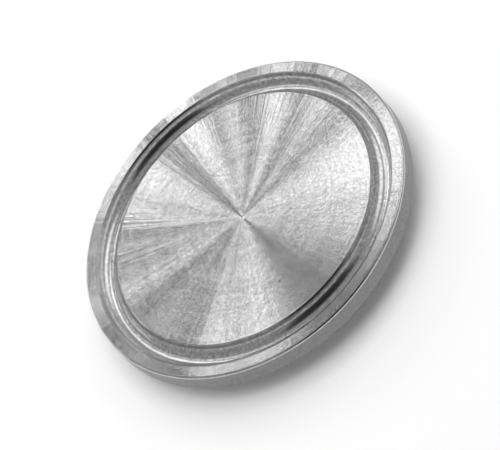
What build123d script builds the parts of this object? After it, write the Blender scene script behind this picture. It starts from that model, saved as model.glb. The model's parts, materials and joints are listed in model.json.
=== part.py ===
"""Sanitary clamp end cap: a solid stainless blank for a 50.5 mm clamp flange, turned from one piece.

Frame: origin at the centre of the flat back, +Z along the axis and out of the sealing face. Millimetres.
"""

import os
from math import radians, tan

from build123d import *

# Clamp flange, the size shared by 1 in and 1 1/2 in fittings
FLANGE_DIAMETER = 50.5
RIM_THICKNESS = 2.85  # height of the plain cylindrical edge
CLAMP_ANGLE = 20.0  # slope of the clamp seat from the flange plane, in degrees

# Whole blank
CAP_THICKNESS = 6.35
BOSS_DIAMETER = 38.1  # raised back, as wide as the tube that the flange is made for

# Half-round gasket groove in the sealing face
GROOVE_PITCH_DIAMETER = 43.5
GROOVE_RADIUS = 1.5

# Edge finishes
RIM_FRONT_RADIUS = 0.35
RIM_BACK_CHAMFER = 0.15
GROOVE_LIP_CHAMFER = 0.2
NECK_CHAMFER = 0.5
BOSS_CHAMFER = 0.4

# Facing mark that the tool leaves where the sealing face meets the axis
FACING_MARK_RADIUS = 0.4
FACING_MARK_DEPTH = 0.03

flange_radius = FLANGE_DIAMETER / 2
boss_radius = BOSS_DIAMETER / 2
groove_pitch_radius = GROOVE_PITCH_DIAMETER / 2
rim_back_z = CAP_THICKNESS - RIM_THICKNESS
neck_z = rim_back_z - (flange_radius - boss_radius) * tan(radians(CLAMP_ANGLE))


def corner(sketch, radius, height):
    """The corner of a section sketch that lies nearest to a radius and a height."""
    return sketch.vertices().sort_by_distance((radius, height, 0))[0]


with BuildPart() as end_cap:
    # Half section: boss, clamp seat, rim and sealing face
    with BuildSketch(Plane.XZ) as section:
        with BuildLine():
            Polyline(
                (0, 0),
                (boss_radius, 0),
                (boss_radius, neck_z),
                (flange_radius, rim_back_z),
                (flange_radius, CAP_THICKNESS),
                (FACING_MARK_RADIUS, CAP_THICKNESS),
                (0, CAP_THICKNESS - FACING_MARK_DEPTH),
                close=True,
            )
        make_face()
        chamfer(corner(section, boss_radius, 0), BOSS_CHAMFER)
        chamfer(corner(section, boss_radius, neck_z), NECK_CHAMFER)
        chamfer(corner(section, flange_radius, rim_back_z), RIM_BACK_CHAMFER)
        fillet(corner(section, flange_radius, CAP_THICKNESS), RIM_FRONT_RADIUS)

        # Half-round groove with broken lips
        with Locations((groove_pitch_radius, CAP_THICKNESS)):
            Circle(GROOVE_RADIUS, mode=Mode.SUBTRACT)
        for side in (-1, 1):
            lip_radius = groove_pitch_radius + side * GROOVE_RADIUS
            chamfer(corner(section, lip_radius, CAP_THICKNESS), GROOVE_LIP_CHAMFER)
    revolve(axis=Axis.Z)

end_cap.part.label = "end_cap"
os.makedirs("parts", exist_ok=True)
export_step(end_cap.part, "parts/end_cap.step")
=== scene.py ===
"""Sanitary clamp end cap on a pale studio floor: the turned steel, the studio and the camera."""

import json
import logging
from dataclasses import dataclass, replace
from enum import Enum
from math import cos, pi, radians, sin, tan

import bpy
import numpy as np
from mathutils import Matrix, Vector


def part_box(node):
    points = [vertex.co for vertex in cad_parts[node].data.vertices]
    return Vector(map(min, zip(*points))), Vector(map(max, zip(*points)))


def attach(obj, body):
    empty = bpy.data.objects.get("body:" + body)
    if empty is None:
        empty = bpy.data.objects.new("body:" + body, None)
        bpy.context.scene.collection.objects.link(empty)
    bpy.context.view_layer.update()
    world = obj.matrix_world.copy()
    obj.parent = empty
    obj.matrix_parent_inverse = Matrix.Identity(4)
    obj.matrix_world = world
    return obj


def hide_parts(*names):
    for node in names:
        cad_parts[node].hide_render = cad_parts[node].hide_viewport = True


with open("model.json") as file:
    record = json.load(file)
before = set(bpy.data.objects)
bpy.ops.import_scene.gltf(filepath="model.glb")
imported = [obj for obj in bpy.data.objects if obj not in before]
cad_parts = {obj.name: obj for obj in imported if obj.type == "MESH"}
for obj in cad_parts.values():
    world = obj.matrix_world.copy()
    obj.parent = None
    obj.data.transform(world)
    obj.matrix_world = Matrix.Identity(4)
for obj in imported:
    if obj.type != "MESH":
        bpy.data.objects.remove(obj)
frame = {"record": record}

LOG = logging.getLogger("end_cap")
NODE = "end_cap"
MM = 0.001
POLAR_MAP = "OFBake"
COLUMNS = 360  # divisions round the axis
SHARP_ANGLE = radians(30.0)

# Divisions of each stretch of the section
FACE_STEPS = 26
GROOVE_STEPS = 34
LAND_STEPS = 4
ROUND_STEPS = 9
RIM_STEPS = 5
SEAT_STEPS = 8
BACK_STEPS = 14
EDGE_STEPS = 2

# How far each pattern moves the grey, as a share of it, and the roughness
MARK_CONTRAST = 0.4
BAND_CONTRAST = 0.1
ROUGHNESS_SWING = 0.06
SCRATCH_TONE = -0.35
SCRATCH_ROUGHNESS = 0.15
ACROSS_MARKS = 0.25  # the sheen's rotation, in turns from along the marks


class Zone(Enum):
    """Parts of the turned surface that have a finish of their own; the rim's and the land's grey also
    carries painted shade.
    """

    FACE = 0
    SMOOTH = 1  # groove and edge rounds
    RIM = 2
    BACK = 3
    LAND = 4  # flat ring outside the groove


@dataclass(frozen=True)
class SteelFinish:
    """How one zone of the steel was turned.

    tone is the metal's grey, set lower on the rim and the land as painted shade, roughness and anisotropy
    set the sheen, mark_pitch and grain_pitch are the distances between turning marks and between grains, and
    the heights are their depths, all in metres.
    grain_contrast is how strongly the grains lighten and darken the grey.
    chatter is the slope of the shallow waves that the tool leaves round the axis.
    """

    name: str
    tone: float
    roughness: float
    anisotropy: float
    mark_pitch: float
    mark_height: float
    grain_pitch: float
    grain_height: float
    grain_contrast: float
    chatter: float
    scratched: bool


FACED = SteelFinish(
    name="Faced steel",
    tone=0.64,
    roughness=0.195,
    anisotropy=1.0,
    mark_pitch=0.24 * MM,
    mark_height=7e-6,
    grain_pitch=0.26 * MM,
    grain_height=1.2e-6,
    grain_contrast=1.0,
    chatter=0.8e-3,
    scratched=True,
)

FINISHES: dict[Zone, SteelFinish] = {
    Zone.FACE: FACED,
    Zone.SMOOTH: SteelFinish(
        name="Smooth steel",
        tone=0.56,
        roughness=0.24,
        anisotropy=0.4,
        mark_pitch=0.16 * MM,
        mark_height=3e-6,
        grain_pitch=0.5 * MM,
        grain_height=2e-6,
        grain_contrast=0.8,
        chatter=0.0,
        scratched=False,
    ),
    # Painted shade: the rim's grey is set low to stand in for the shadowed floor that its side wall mirrors;
    # its higher roughness is the duller as-turned finish
    Zone.RIM: SteelFinish(
        name="Rim steel with painted shade",
        tone=0.28,
        roughness=0.42,
        anisotropy=0.5,
        mark_pitch=0.20 * MM,
        mark_height=8e-6,
        grain_pitch=0.3 * MM,
        grain_height=4e-6,
        grain_contrast=0.8,
        chatter=0.0,
        scratched=False,
    ),
    Zone.BACK: SteelFinish(
        name="Back steel",
        tone=0.58,
        roughness=0.24,
        anisotropy=0.95,
        mark_pitch=0.26 * MM,
        mark_height=8e-6,
        grain_pitch=0.3 * MM,
        grain_height=4e-6,
        grain_contrast=0.8,
        chatter=0.5e-3,
        scratched=False,
    ),
    # The land is the face's finish without hairlines, its grey set lower as painted shade that darkens its
    # reflections
    Zone.LAND: replace(FACED, name="Land steel with painted shade", tone=0.54, scratched=False),
}

# Hairlines on the sealing face: start and end on the face, in millimetres
HAIRLINES = (
    ((-8.4, -6.6), (-7.6, -6.9)),
    ((-7.6, -6.9), (-7.3, -7.4)),
    ((-17.6, 0.2), (-16.3, 2.2)),
    ((-15.4, 4.3), (-14.1, 5.4)),
    ((2.4, -12.6), (5.1, -10.4)),
    ((-13.5, -4.0), (-12.5, -5.8)),
    ((17.2, 1.6), (15.1, -2.0)),
    ((11.9, 10.2), (13.6, 11.3)),
)


@dataclass
class CapSection:
    """Half section of the cap, from the centre of the sealing face over the rim to the centre of the back.

    All lengths are in metres. The outer radius, the thickness and the groove's pitch come from the CAD part.
    """

    outer_radius: float
    thickness: float
    groove_pitch_radius: float
    rim_height: float = 2.85 * MM
    clamp_angle: float = radians(20.0)
    boss_radius: float = 19.05 * MM
    groove_radius: float = 1.5 * MM
    groove_lip: float = 0.2 * MM
    rim_front_round: float = 0.35 * MM
    rim_back_chamfer: float = 0.15 * MM
    neck_chamfer: float = 0.5 * MM
    boss_chamfer: float = 0.4 * MM
    mark_radius: float = 0.4 * MM
    mark_depth: float = 0.03 * MM
    guard: float = 0.02 * MM  # from an end of a straight stretch to the point beside it

    @classmethod
    def from_frame(cls) -> "CapSection":
        """Reads the cap's main sizes from the CAD node's box and from the groove's mount.

        Returns:
            The section of the cap.
        """
        low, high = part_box(NODE)
        mounts = {mount["name"]: mount for mount in frame["record"]["mounts"]}
        pitch = mounts["gasket_groove"]["dims"]["r_mm"] * MM
        # The box is measured on facets, so the plain edge's stated radius is the true one
        outer = mounts["clamp_rim"]["dims"]["r_mm"] * MM
        return cls(outer_radius=outer, thickness=high.z - low.z, groove_pitch_radius=pitch)

    def line(self, start: tuple[float, float], end: tuple[float, float], steps: int) -> np.ndarray:
        """Points of a straight stretch, with one close to each end so that the flat shades flat.

        Args:
            start: Radius and height where it begins.
            end: Radius and height where it ends.
            steps: Number of even divisions.

        Returns:
            Points as rows of radius and height, with both ends.
        """
        length = float(np.hypot(end[0] - start[0], end[1] - start[1]))
        guard = min(self.guard / length, 1 / (4 * steps))
        t = np.unique(np.concatenate((np.linspace(0, 1, steps + 1), [guard, 1 - guard])))[:, None]
        return np.array(start) * (1 - t) + np.array(end) * t

    @staticmethod
    def arc(centre: tuple[float, float], radius: float, start: float, end: float, steps: int) -> np.ndarray:
        """Points of an arc: centre plus radius times the cosine and the sine of an even run of angles.

        Args:
            centre: Radius and height of the arc's centre.
            radius: Radius of the arc.
            start: First angle, in radians.
            end: Last angle, in radians.
            steps: Number of divisions.

        Returns:
            Points as rows of radius and height, with both ends.
        """
        angle = np.linspace(start, end, steps + 1)
        return np.stack((centre[0] + radius * np.cos(angle), centre[1] + radius * np.sin(angle)), axis=1)

    def zones(self) -> list[tuple[Zone, np.ndarray]]:
        """The section as joined runs of points.

        Each lip's chamfer is as long along the face as along the groove's half-round.

        Returns:
            Pairs of a zone and its points, in order from the face's centre to the back's centre.
        """
        top = self.thickness
        pitch = self.groove_pitch_radius
        reach = self.groove_radius + self.groove_lip
        touch = self.groove_lip / self.groove_radius
        half_round = self.arc((pitch, top), self.groove_radius, pi + touch, 2 * pi - touch, GROOVE_STEPS)
        outer = self.outer_radius
        front = self.rim_front_round
        rim_back = (outer, top - self.rim_height)
        neck_z = rim_back[1] - (outer - self.boss_radius) * tan(self.clamp_angle)
        neck = (self.boss_radius, neck_z)
        edge = self.rim_back_chamfer
        rim_foot = (outer, rim_back[1] + edge)
        seat_top = (outer - edge * cos(self.clamp_angle), rim_back[1] - edge * sin(self.clamp_angle))
        bevel = self.neck_chamfer
        seat_foot = (neck[0] + bevel * cos(self.clamp_angle), neck_z + bevel * sin(self.clamp_angle))
        boss_top = (self.boss_radius, neck_z - bevel)
        chamfer = self.boss_chamfer
        boss_edge = (self.boss_radius, chamfer)
        foot = (self.boss_radius - chamfer, 0.0)
        return [
            (Zone.FACE, self.line((0, top - self.mark_depth), (self.mark_radius, top), EDGE_STEPS)),
            (Zone.FACE, self.line((self.mark_radius, top), (pitch - reach, top), FACE_STEPS)),
            (Zone.SMOOTH, self.line((pitch - reach, top), tuple(half_round[0]), EDGE_STEPS)),
            (Zone.SMOOTH, half_round),
            (Zone.SMOOTH, self.line(tuple(half_round[-1]), (pitch + reach, top), EDGE_STEPS)),
            (Zone.LAND, self.line((pitch + reach, top), (outer - front, top), LAND_STEPS)),
            (Zone.SMOOTH, self.arc((outer - front, top - front), front, pi / 2, 0, ROUND_STEPS)),
            (Zone.RIM, self.line((outer, top - front), rim_foot, RIM_STEPS)),
            (Zone.RIM, self.line(rim_foot, seat_top, EDGE_STEPS)),
            (Zone.BACK, self.line(seat_top, seat_foot, SEAT_STEPS)),
            (Zone.BACK, self.line(seat_foot, boss_top, EDGE_STEPS)),
            (Zone.BACK, self.line(boss_top, boss_edge, EDGE_STEPS)),
            (Zone.BACK, self.line(boss_edge, foot, EDGE_STEPS)),
            (Zone.BACK, self.line(foot, (0, 0), BACK_STEPS)),
        ]


@dataclass
class TurnedCap:
    """The end cap, one solid of revolution."""

    section: CapSection

    def build(self) -> bpy.types.Object:
        """Turns the section round the axis into a closed mesh with a polar map and one finish a zone.

        Each vertex is (r cos a, r sin a, z) for a section point (r, z) and an angle a. The map's U runs
        once round the axis and its V runs along the section, by its length.

        Returns:
            The finished object, in place of the CAD node.
        """
        points, row_zone = self._rows()
        rings = points[1:-1]
        angle = np.arange(COLUMNS) * 2 * pi / COLUMNS
        around = np.stack((np.cos(angle), np.sin(angle)), axis=1)
        ring_xy = rings[:, None, 0, None] * around[None]
        ring_z = np.broadcast_to(rings[:, None, 1, None], (*ring_xy.shape[:2], 1))
        body = np.concatenate((ring_xy, ring_z), axis=2).reshape(-1, 3)
        vertices = np.concatenate((body, [[0, 0, points[0, 1]], [0, 0, points[-1, 1]]]))

        column = np.arange(COLUMNS)
        after = (column + 1) % COLUMNS
        ring = np.arange(len(rings) - 1)[:, None] * COLUMNS
        below = ring + COLUMNS
        quads = np.stack((ring + column, below + column, below + after, ring + after), axis=2)
        quads = quads.reshape(-1, 4)
        face_pole, back_pole = len(body), len(body) + 1
        last = (len(rings) - 1) * COLUMNS
        cap_top = np.stack((np.full(COLUMNS, face_pole), column, after), axis=1)
        cap_back = np.stack((np.full(COLUMNS, back_pole), last + after, last + column), axis=1)

        mesh = bpy.data.meshes.new(NODE + "_steel")
        mesh.from_pydata(vertices.tolist(), [], quads.tolist() + cap_top.tolist() + cap_back.tolist())
        self._write_map(mesh, points, column)
        quad_zone = np.repeat([row_zone[row + 1] for row in range(len(rings) - 1)], COLUMNS)
        zones = np.concatenate((quad_zone, np.full(COLUMNS, row_zone[0]), np.full(COLUMNS, row_zone[-1])))
        for zone in Zone:
            mesh.materials.append(turned_steel(FINISHES[zone], self.length(points)))
        mesh.polygons.foreach_set("material_index", zones.astype(np.int32))
        mesh.polygons.foreach_set("use_smooth", np.ones(len(mesh.polygons), bool))
        mesh.set_sharp_from_angle(angle=SHARP_ANGLE)
        mesh.update()
        cap = bpy.data.objects.new("turned_cap", mesh)
        bpy.context.scene.collection.objects.link(cap)
        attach(cap, "root")
        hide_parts(NODE)
        return cap

    def _rows(self) -> tuple[np.ndarray, list[int]]:
        """Joins the section's runs, without repeating the points where they meet.

        Returns:
            The points as rows of radius and height, and the zone of each stretch between two points.
        """
        points: list[np.ndarray] = []
        zones: list[int] = []
        for zone, run in self.section.zones():
            points.append(run if not points else run[1:])
            zones += [zone.value] * (len(run) - 1)
        return np.concatenate(points), zones

    @staticmethod
    def length(points: np.ndarray) -> float:
        """Length of the section, the sum of the distances between its points.

        Args:
            points: Rows of radius and height.

        Returns:
            The length in metres.
        """
        return float(np.linalg.norm(np.diff(points, axis=0), axis=1).sum())

    @staticmethod
    def _write_map(mesh: bpy.types.Mesh, points: np.ndarray, column: np.ndarray) -> None:
        """Writes the polar map: U is the share of a full turn, V the share of the section's length.

        Args:
            mesh: The turned mesh, with its quads first and its two fans after them.
            points: The section's points.
            column: Index of each column of faces.
        """
        steps = np.linalg.norm(np.diff(points, axis=0), axis=1)
        v = np.concatenate(([0], np.cumsum(steps))) / steps.sum()
        u0, u1 = column / COLUMNS, (column + 1) / COLUMNS
        rows = len(points) - 3
        va = np.broadcast_to(v[1 : rows + 1, None], (rows, COLUMNS))
        vb = np.broadcast_to(v[2 : rows + 2, None], (rows, COLUMNS))
        ua, ub = np.broadcast_to(u0, va.shape), np.broadcast_to(u1, va.shape)
        quads = np.stack((ua, va, ua, vb, ub, vb, ub, va), axis=2).reshape(-1)
        middle = (u0 + u1) / 2
        one = np.ones(COLUMNS)
        top = np.stack((middle, one * v[0], u0, one * v[1], u1, one * v[1]), axis=1).reshape(-1)
        back = np.stack((middle, one * v[-1], u1, one * v[-2], u0, one * v[-2]), axis=1).reshape(-1)
        layer = mesh.uv_layers.new(name=POLAR_MAP)
        layer.data.foreach_set("uv", np.concatenate((quads, top, back)).astype(np.float32))


class Wiring:
    """Adds and joins nodes in one node tree."""

    def __init__(self, tree: bpy.types.NodeTree) -> None:
        """Keeps the tree.

        Args:
            tree: The node tree to add to.
        """
        self.tree = tree

    def add(self, kind: str, inputs: dict | None = None, **settings: object) -> bpy.types.Node:
        """Adds a node, sets it up, and sets or links its inputs.

        Args:
            kind: The node's type name.
            inputs: Input name or number to a value or to the output socket that feeds it.
            settings: Properties of the node.

        Returns:
            The node.
        """
        node = self.tree.nodes.new(kind)
        for name, value in settings.items():
            setattr(node, name, value)
        for key, value in (inputs or {}).items():
            if isinstance(value, bpy.types.NodeSocket):
                self.tree.links.new(value, node.inputs[key])
            else:
                node.inputs[key].default_value = value
        return node

    def math(self, operation: str, *values: object, clamp: bool = False) -> bpy.types.NodeSocket:
        """Adds a Math node.

        Args:
            operation: The operation's name.
            values: Its inputs, as numbers or output sockets.
            clamp: Whether to keep the result between 0 and 1.

        Returns:
            The result.
        """
        node = self.add("ShaderNodeMath", dict(enumerate(values)), operation=operation, use_clamp=clamp)
        return node.outputs[0]


def new_group(name: str, inputs: dict[str, float], outputs: dict[str, str]) -> tuple[Wiring, dict, dict]:
    """Makes a shader node group with its sockets.

    Args:
        name: The group's name.
        inputs: Names of the number inputs and their defaults.
        outputs: Names of the outputs and their socket types.

    Returns:
        The wiring of the group, its inputs by name, and the sockets that its outputs are fed through.
    """
    tree = bpy.data.node_groups.new(name, "ShaderNodeTree")
    for label, value in inputs.items():
        socket = tree.interface.new_socket(label, in_out="INPUT", socket_type="NodeSocketFloat")
        socket.default_value = value
    for label, kind in outputs.items():
        tree.interface.new_socket(label, in_out="OUTPUT", socket_type=kind)
    wiring = Wiring(tree)
    entry = wiring.add("NodeGroupInput")
    exit_node = wiring.add("NodeGroupOutput")
    given = {label: entry.outputs[label] for label in inputs}
    out = {label: exit_node.inputs[label] for label in outputs}
    return wiring, given, out


def ring_noise_group() -> bpy.types.NodeTree:
    """Noise laid out round the axis, for turning marks and grain.

    The noise is read at a point whose first coordinate is the length along the section over the pitch,
    and whose other two are the cosine and sine of the angle times Turns, so that it closes on itself.

    Returns:
        The group: Length, Pitch, Turns, Detail and Seed in, Value out.
    """
    found = bpy.data.node_groups.get("Ring noise")
    if found:
        return found
    inputs = {"Length": 0.05, "Pitch": 0.0002, "Turns": 1.0, "Detail": 3.0, "Seed": 0.0}
    wiring, given, out = new_group("Ring noise", inputs, {"Value": "NodeSocketFloat"})
    polar = wiring.add("ShaderNodeUVMap", uv_map=POLAR_MAP).outputs["UV"]
    split = wiring.add("ShaderNodeSeparateXYZ", {0: polar})
    along = wiring.math("MULTIPLY", split.outputs["Y"], given["Length"])
    along = wiring.math("DIVIDE", along, given["Pitch"])
    turn = wiring.math("MULTIPLY", split.outputs["X"], 2 * pi)
    across = wiring.math("MULTIPLY", wiring.math("COSINE", turn), given["Turns"])
    beside = wiring.math("MULTIPLY", wiring.math("SINE", turn), given["Turns"])
    shifted = wiring.math("ADD", along, given["Seed"])
    place = wiring.add("ShaderNodeCombineXYZ", {0: shifted, 1: across, 2: beside}).outputs[0]
    noise = wiring.add(
        "ShaderNodeTexNoise",
        {"Vector": place, "Scale": 1.0, "Detail": given["Detail"], "Roughness": 0.6},
        noise_dimensions="3D",
    )
    wiring.tree.links.new(noise.outputs[0], out["Value"])
    return wiring.tree


def hairline_group() -> bpy.types.NodeTree:
    """Mask of one straight hairline on the sealing face.

    The point's share of the way from start to end, kept between 0 and 1, gives the nearest point of the
    line. The mask is 1 there and falls to 0 at Width from it.

    Returns:
        The group: Start X, Start Y, End X, End Y and Width in, Mask out.
    """
    found = bpy.data.node_groups.get("Hairline")
    if found:
        return found
    inputs = {"Start X": 0.0, "Start Y": 0.0, "End X": 0.001, "End Y": 0.0, "Width": 0.00008}
    wiring, given, out = new_group("Hairline", inputs, {"Mask": "NodeSocketFloat"})
    place = wiring.add("ShaderNodeTexCoord").outputs["Object"]
    flat = wiring.add("ShaderNodeVectorMath", {0: place, 1: (1, 1, 0)}, operation="MULTIPLY").outputs[0]
    start = wiring.add("ShaderNodeCombineXYZ", {0: given["Start X"], 1: given["Start Y"]}).outputs[0]
    end = wiring.add("ShaderNodeCombineXYZ", {0: given["End X"], 1: given["End Y"]}).outputs[0]
    run = wiring.add("ShaderNodeVectorMath", {0: end, 1: start}, operation="SUBTRACT").outputs[0]
    offset = wiring.add("ShaderNodeVectorMath", {0: flat, 1: start}, operation="SUBTRACT").outputs[0]
    reach = wiring.add("ShaderNodeVectorMath", {0: offset, 1: run}, operation="DOT_PRODUCT").outputs["Value"]
    square = wiring.add("ShaderNodeVectorMath", {0: run, 1: run}, operation="DOT_PRODUCT").outputs["Value"]
    share = wiring.math("DIVIDE", reach, square, clamp=True)
    nearest = wiring.add("ShaderNodeVectorMath", {0: run, "Scale": share}, operation="SCALE").outputs[0]
    gap = wiring.add("ShaderNodeVectorMath", {0: offset, 1: nearest}, operation="DISTANCE").outputs["Value"]
    mask = wiring.math("SUBTRACT", 1.0, wiring.math("DIVIDE", gap, given["Width"]), clamp=True)
    wiring.tree.links.new(mask, out["Mask"])
    return wiring.tree


@dataclass(frozen=True)
class RingPattern:
    """One use of the ring noise: its pitch in metres, its turns round the axis, its detail and its seed."""

    pitch: float
    turns: float
    detail: float
    seed: float

    def build(self, wiring: Wiring, length: float) -> bpy.types.NodeSocket:
        """Places the ring noise in a material.

        Args:
            wiring: The material's wiring.
            length: Length of the cap's section, in metres.

        Returns:
            The noise, about 0.5 on average.
        """
        values = {
            "Length": length,
            "Pitch": self.pitch,
            "Turns": self.turns,
            "Detail": self.detail,
            "Seed": self.seed,
        }
        return wiring.add("ShaderNodeGroup", values, node_tree=ring_noise_group()).outputs["Value"]


# Wide, faint bands of tone, and waves whose pitch is so long that they run unchanged from centre to rim
BANDS = RingPattern(pitch=2.4 * MM, turns=0.6, detail=2.0, seed=90.0)
WAVES = RingPattern(pitch=1.0, turns=20.0, detail=3.0, seed=7.0)


def scratch_mask(wiring: Wiring) -> bpy.types.NodeSocket:
    """Mask of all the hairlines: at each point, the strongest of their masks.

    Args:
        wiring: The material's wiring.

    Returns:
        The mask, 1 on a hairline.
    """
    scratches = None
    for (start_x, start_y), (end_x, end_y) in HAIRLINES:
        ends = {"Start X": start_x * MM, "Start Y": start_y * MM, "End X": end_x * MM, "End Y": end_y * MM}
        mask = wiring.add("ShaderNodeGroup", ends, node_tree=hairline_group()).outputs["Mask"]
        scratches = mask if scratches is None else wiring.math("MAXIMUM", scratches, mask)
    return scratches


def turned_steel(finish: SteelFinish, length: float) -> bpy.types.Material:
    """Bare turned steel, whose sheen stretches across its concentric marks.

    Args:
        finish: The zone's finish.
        length: Length of the cap's section, in metres.

    Returns:
        The material.
    """
    material = bpy.data.materials.new(finish.name)
    material.use_nodes = True
    material.node_tree.nodes.clear()
    wiring = Wiring(material.node_tree)

    marks = RingPattern(pitch=finish.mark_pitch, turns=0.8, detail=3.0, seed=0.0).build(wiring, length)
    place = wiring.add("ShaderNodeTexCoord").outputs["Object"]
    grain = wiring.add(
        "ShaderNodeTexNoise", {"Vector": place, "Scale": 1 / finish.grain_pitch, "Detail": 2.0}
    ).outputs[0]
    bands = BANDS.build(wiring, length)

    # The grey rises and falls with the marks, the grain and the wide bands, about the finish's own tone
    lowest = 1 - (MARK_CONTRAST + finish.grain_contrast + BAND_CONTRAST) / 2
    shade = wiring.math("MULTIPLY_ADD", marks, MARK_CONTRAST, lowest)
    shade = wiring.math("MULTIPLY_ADD", grain, finish.grain_contrast, shade)
    shade = wiring.math("MULTIPLY_ADD", bands, BAND_CONTRAST, shade)
    tone = wiring.math("MULTIPLY", shade, finish.tone)
    roughness = wiring.math("MULTIPLY_ADD", marks, ROUGHNESS_SWING, finish.roughness - ROUGHNESS_SWING)
    roughness = wiring.math("MULTIPLY_ADD", bands, ROUGHNESS_SWING, roughness)
    if finish.scratched:
        scratches = scratch_mask(wiring)
        tone = wiring.math("MULTIPLY_ADD", scratches, SCRATCH_TONE, tone)
        roughness = wiring.math("MULTIPLY_ADD", scratches, SCRATCH_ROUGHNESS, roughness)
    colour = wiring.add("ShaderNodeCombineColor", {0: tone, 1: tone, 2: tone})

    ring_bump = wiring.add(
        "ShaderNodeBump", {"Strength": 1.0, "Distance": finish.mark_height, "Height": marks}
    )
    grain_bump = wiring.add(
        "ShaderNodeBump",
        {"Strength": 1.0, "Distance": finish.grain_height, "Height": grain, "Normal": ring_bump.outputs[0]},
    )
    # Waves that run out from the axis: their height grows with the radius, so that their slope is even
    flat = wiring.add("ShaderNodeVectorMath", {0: place, 1: (1, 1, 0)}, operation="MULTIPLY").outputs[0]
    radius = wiring.add("ShaderNodeVectorMath", {0: flat}, operation="LENGTH").outputs["Value"]
    waves = wiring.math("MULTIPLY", WAVES.build(wiring, length), radius)
    wave_bump = wiring.add(
        "ShaderNodeBump",
        {"Strength": 1.0, "Distance": finish.chatter, "Height": waves, "Normal": grain_bump.outputs[0]},
    )
    tangent = wiring.add("ShaderNodeTangent", direction_type="UV_MAP", uv_map=POLAR_MAP)
    shader = wiring.add(
        "ShaderNodeBsdfPrincipled",
        {
            "Base Color": colour.outputs[0],
            "Metallic": 1.0,
            "Roughness": roughness,
            "Anisotropic": finish.anisotropy,
            "Anisotropic Rotation": ACROSS_MARKS,
            "Normal": wave_bump.outputs[0],
            "Tangent": tangent.outputs[0],
        },
    )
    wiring.add("ShaderNodeOutputMaterial", {"Surface": shader.outputs[0]})
    return material


@dataclass(frozen=True)
class Viewpoint:
    """Where the camera stands: its distance, elevation and roll, and its small shift of aim.

    Lengths are in metres and angles in radians, apart from the lens and the sensor, in millimetres.
    """

    distance: float = 711.5 * MM
    elevation: float = radians(45.64)
    roll: float = radians(-44.75)
    lens: float = 371.7
    sensor: float = 36.0
    nearest: float = 10.0 * MM
    aim_right: float = 1.06 * MM
    aim_up: float = -1.11 * MM

    def towards(self) -> Vector:
        """Direction from the cap to the camera.

        Returns:
            A unit vector.
        """
        return Vector((0, -cos(self.elevation), sin(self.elevation)))

    def build(self, target: Vector) -> bpy.types.Object:
        """Makes the scene's camera.

        Args:
            target: The point that it looks at, before the small shift of aim.

        Returns:
            The camera.
        """
        back = self.towards()
        right = Vector((1, 0, 0))
        up = back.cross(right)
        side = right * cos(self.roll) + up * sin(self.roll)
        top = up * cos(self.roll) - right * sin(self.roll)
        place = target + side * self.aim_right + top * self.aim_up + back * self.distance
        data = bpy.data.cameras.new("Camera")
        data.lens = self.lens
        data.sensor_width = self.sensor
        data.clip_start = self.nearest
        camera = bpy.data.objects.new("Camera", data)
        turn = Matrix((side, top, back)).transposed()
        camera.matrix_world = Matrix.Translation(place) @ turn.to_4x4()
        bpy.context.scene.collection.objects.link(camera)
        bpy.context.scene.camera = camera
        return camera


@dataclass(frozen=True)
class Softbox:
    """A soft lamp that faces the cap.

    It stands where the camera would see it mirrored in a surface that leans from level by lean, towards
    azimuth. Both are in degrees. share is the part of the floor's light that it gives, and the distance,
    the width and the height are in metres.
    """

    name: str
    azimuth: float
    lean: float
    distance: float
    width: float
    height: float
    share: float
    mirrored: bool = True  # whether the steel shows it

    @staticmethod
    def direction(view: Vector, azimuth: float, lean: float) -> Vector:
        """Direction of the lamp from the cap: the view mirrored about the leaning surface's normal.

        Args:
            view: Direction from the cap to the camera.
            azimuth: Azimuth that the surface leans towards, in degrees.
            lean: How far it leans, in degrees.

        Returns:
            A unit vector.
        """
        a, b = radians(azimuth), radians(lean)
        normal = Vector((sin(b) * cos(a), sin(b) * sin(a), cos(b)))
        return normal * 2 * normal.dot(view) - view

    def build(self, view: Vector, target: Vector) -> bpy.types.Object:
        """Makes the lamp.

        Its power is the share times pi squared times the distance squared, over the sine of its elevation.

        Args:
            view: Direction from the cap to the camera.
            target: The point that it faces.

        Returns:
            The lamp.
        """
        towards = self.direction(view, self.azimuth, self.lean)
        ahead = self.direction(view, self.azimuth, self.lean + 1.0) - towards
        side = ahead.cross(towards).normalized()
        top = towards.cross(side)
        data = bpy.data.lights.new(self.name, "AREA")
        data.shape = "RECTANGLE"
        data.size = self.width
        data.size_y = self.height
        data.energy = self.share * pi**2 * self.distance**2 / towards.z
        lamp = bpy.data.objects.new(self.name, data)
        turn = Matrix((side, top, towards)).transposed()
        lamp.matrix_world = Matrix.Translation(target + towards * self.distance) @ turn.to_4x4()
        lamp.visible_camera = False
        lamp.visible_glossy = self.mirrored
        bpy.context.scene.collection.objects.link(lamp)
        return lamp


@dataclass(frozen=True)
class DarkCard:
    """A dark card that only the steel's reflections show.

    It stands round the camera, or opposite it, where the level face mirrors it. The distance, the width
    and the height are in metres.
    """

    name: str
    distance: float
    width: float
    height: float
    opposite: bool


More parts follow.
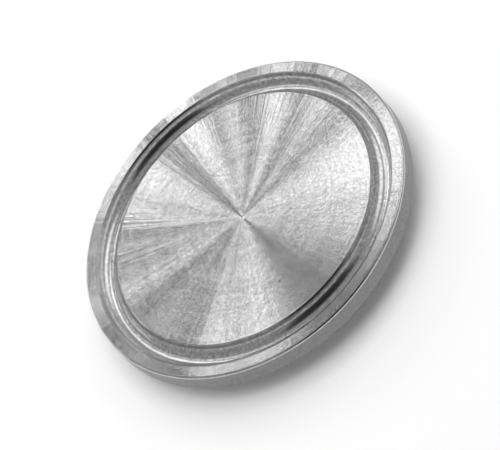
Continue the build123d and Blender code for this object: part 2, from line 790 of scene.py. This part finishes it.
@dataclass(frozen=True)
class Studio:
    """Floor, lamps, sky and dark cards round the cap.

    The sky has one strength for light and another in the steel's reflections.
    """

    floor_size: float = 3.0
    floor_tone: float = 0.97
    floor_variation: float = 0.004
    card_tone: float = 0.025
    card_variation: float = 0.01
    paint_scale: float = 8.0
    sky: float = 0.25
    mirrored_sky: float = 0.38
    wide_card: DarkCard = DarkCard("Dark card", 0.34, 0.30, 0.44, opposite=False)
    small_card: DarkCard = DarkCard("Small dark card", 0.36, 0.22, 0.22, opposite=True)
    softboxes: tuple[Softbox, ...] = (
        Softbox("Overhead fill", -90.0, 22.18, 1.60, 1.60, 1.60, 0.80, mirrored=False),
        Softbox("Left side softbox", 165.0, 30.0, 0.45, 0.30, 0.22, 0.025),
        Softbox("Right side softbox", -35.0, 30.0, 0.45, 0.30, 0.22, 0.09),
        Softbox("Key softbox", -21.0, 8.5, 0.26, 0.037, 0.065, 0.026),
        Softbox("Right front strip", -51.0, 9.0, 0.30, 0.005, 0.075, 0.003),
        Softbox("Low back softbox", 75.0, 8.5, 0.22, 0.011, 0.055, 0.014),
        Softbox("Back strip", 54.0, 8.5, 0.30, 0.008, 0.075, 0.006),
        Softbox("Right strip", 31.0, 8.5, 0.30, 0.010, 0.075, 0.008),
        Softbox("Right narrow strip", 11.0, 8.5, 0.30, 0.008, 0.075, 0.006),
        Softbox("Front overhead softbox", -121.0, 8.0, 0.30, 0.019, 0.075, 0.009),
        Softbox("Front left strip", -144.0, 8.0, 0.30, 0.012, 0.075, 0.009),
        Softbox("Left narrow strip", -169.0, 8.5, 0.30, 0.004, 0.075, 0.003),
        Softbox("Left pin strip", 169.0, 8.5, 0.30, 0.004, 0.075, 0.004),
        Softbox("Left back pin strip", 149.0, 8.5, 0.30, 0.003, 0.075, 0.003),
        Softbox("Back left strip", 131.0, 8.5, 0.30, 0.007, 0.075, 0.007),
        Softbox("Back left softbox", 110.0, 8.5, 0.30, 0.022, 0.075, 0.018),
    )

    def build(self, viewpoint: Viewpoint, target: Vector) -> None:
        """Makes the floor, the lamps, the sky and the dark cards.

        Args:
            viewpoint: The camera's place.
            target: The middle of the sealing face.
        """
        floor = self._panel("Floor", Vector((0, 0, 0)), Vector((0, 0, 1)), self.floor_size, self.floor_size)
        floor.data.materials.append(self._paint("Pale floor", self.floor_tone, self.floor_variation))
        view = viewpoint.towards()
        cloth = self._paint("Dark card cloth", self.card_tone, self.card_variation)
        wide = self._card(self.wide_card, view, target, cloth)
        small = self._card(self.small_card, view, target, cloth)
        for softbox in self.softboxes:
            softbox.build(view, target)
        self._sky()

    def _card(
        self, card: DarkCard, view: Vector, target: Vector, cloth: bpy.types.Material
    ) -> bpy.types.Object:
        """Makes a dark card that the camera, plain light and shadows don't see.

        Args:
            card: Its size and place.
            view: Direction from the cap to the camera.
            target: The point that it faces.
            cloth: Its material.

        Returns:
            The card.
        """
        towards = Vector((0, -view.y, view.z)) if card.opposite else view
        panel = self._panel(card.name, target + towards * card.distance, -towards, card.width, card.height)
        panel.data.materials.append(cloth)
        panel.visible_camera = False
        panel.visible_diffuse = False
        panel.visible_shadow = False
        return panel

    @staticmethod
    def _panel(name: str, centre: Vector, normal: Vector, width: float, height: float) -> bpy.types.Object:
        """Makes a flat rectangular panel.

        Args:
            name: Its name.
            centre: Its middle.
            normal: The direction that it faces.
            width: Its size across, in metres.
            height: Its size up, in metres.

        Returns:
            The panel.
        """
        side = Vector((1, 0, 0))
        top = normal.cross(side).normalized()
        corners = [(-1, -1), (1, -1), (1, 1), (-1, 1)]
        mesh = bpy.data.meshes.new(name)
        places = [centre + side * width / 2 * a + top * height / 2 * b for a, b in corners]
        mesh.from_pydata([tuple(place) for place in places], [], [(0, 1, 2, 3)])
        mesh.update()
        panel = bpy.data.objects.new(name, mesh)
        bpy.context.scene.collection.objects.link(panel)
        return panel

    def _paint(self, name: str, tone: float, variation: float) -> bpy.types.Material:
        """A matt surface with a faint, wide variation of tone.

        Args:
            name: The material's name.
            tone: Its grey.
            variation: How far the grey varies.

        Returns:
            The material.
        """
        material = bpy.data.materials.new(name)
        material.use_nodes = True
        material.node_tree.nodes.clear()
        wiring = Wiring(material.node_tree)
        place = wiring.add("ShaderNodeTexCoord").outputs["Object"]
        pattern = {"Vector": place, "Scale": self.paint_scale, "Detail": 2.0}
        noise = wiring.add("ShaderNodeTexNoise", pattern).outputs[0]
        grey = wiring.math("MULTIPLY_ADD", noise, variation, tone - variation / 2)
        colour = wiring.add("ShaderNodeCombineColor", {0: grey, 1: grey, 2: grey}).outputs[0]
        shader = wiring.add("ShaderNodeBsdfDiffuse", {"Color": colour}).outputs[0]
        wiring.add("ShaderNodeOutputMaterial", {"Surface": shader})
        return material

    def _sky(self) -> None:
        """Makes even light from all round, a little stronger in the steel's reflections."""
        world = bpy.data.worlds.new("Studio")
        world.use_nodes = True
        world.node_tree.nodes.clear()
        wiring = Wiring(world.node_tree)
        glossy = wiring.add("ShaderNodeLightPath").outputs["Is Glossy Ray"]
        strength = wiring.math("MULTIPLY_ADD", glossy, self.mirrored_sky - self.sky, self.sky)
        light = wiring.add("ShaderNodeBackground", {"Color": (1, 1, 1, 1), "Strength": strength}).outputs[0]
        wiring.add("ShaderNodeOutputWorld", {"Surface": light})
        bpy.context.scene.world = world


def main() -> None:
    """Builds the cap, the studio and the camera."""
    logging.basicConfig(level=logging.INFO, format="%(message)s")
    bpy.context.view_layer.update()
    section = CapSection.from_frame()
    cap = TurnedCap(section).build()
    LOG.info("cap: %d vertices, %d faces", len(cap.data.vertices), len(cap.data.polygons))
    target = Vector((0, 0, section.thickness))
    viewpoint = Viewpoint()
    viewpoint.build(target)
    Studio().build(viewpoint, target)
    bpy.context.scene.view_settings.view_transform = "Standard"


if __name__ == "__main__":
    main()
